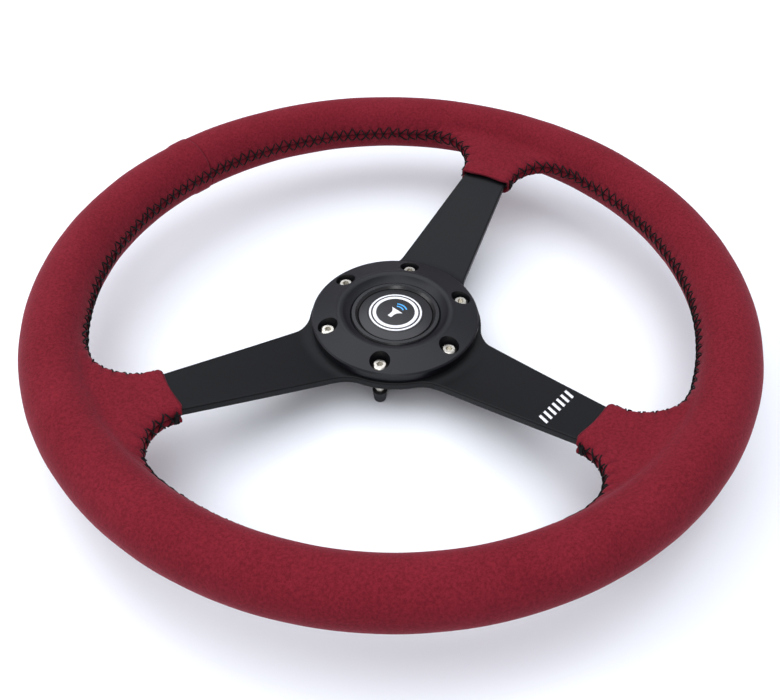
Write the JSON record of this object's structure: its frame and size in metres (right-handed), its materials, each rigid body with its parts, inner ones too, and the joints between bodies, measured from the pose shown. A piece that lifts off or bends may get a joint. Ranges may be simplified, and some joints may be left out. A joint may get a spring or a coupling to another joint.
{
  "type": "sports steering wheel",
  "caption": "Round sports steering wheel with a suede-covered rim, black tapered spokes, a round screwed hub ring and a domed centre horn button.",
  "frame": {"origin": "centre of the hub's mounting face, on the steering axis", "axes": "+Z along the steering axis towards the driver; the lower spoke points along -Y and twelve o'clock along +Y"},
  "size_m": [0.35, 0.35, 0.0524],
  "materials": {
    "suede": "burgundy microsuede with a short raised nap",
    "thread": "waxed black thread",
    "foam": "moulded integral-skin foam",
    "spoke_paint": "satin black anodised plate",
    "ring_anodised": "matt black anodised",
    "steel": "bare mild steel",
    "stainless": "bright zinc-plated steel",
    "spring_steel": "drawn spring wire",
    "rubber": "soft moulded caps",
    "housing_plastic": "moulded, fine texture",
    "cap_plastic": "moulded, satin gloss",
    "emblem_print": "printed domed disc",
    "base_plastic": "moulded insulating plastic",
    "brass": "stamped strip"
  },
  "bodies": {
    "wheel": {"spoke_plate": "spoke_paint", "rim_armature": "steel", "right_bracket": "steel", "left_bracket": "steel", "lower_bracket": "steel", "bracket_rivets": "steel", "rim_foam": "foam", "rim_cover": "suede", "upper_stitching": "thread", "lower_left_stitching": "thread", "lower_right_stitching": "thread", "horn_ring": "ring_anodised", "wheel_screws": "stainless", "thread_caps": "rubber", "button_housing": "housing_plastic", "fixed_contact": "brass", "ground_contact": "brass", "contact_base": "base_plastic", "return_spring": "spring_steel", "base_screws": "stainless"},
    "horn_cap": {"button_cap": "cap_plastic", "emblem_disc": "emblem_print", "moving_contact": "brass", "contact_screw": "stainless"}
  },
  "joints": [
    {"name": "horn_press", "type": "slide", "parent": "wheel", "child": "horn_cap", "axis": [0, 0, -1], "range_m": [0, 0.0014], "stiffness_N_per_m": 2500, "springref_m": -0.0012, "deforming": ["return_spring"]}
  ]
}
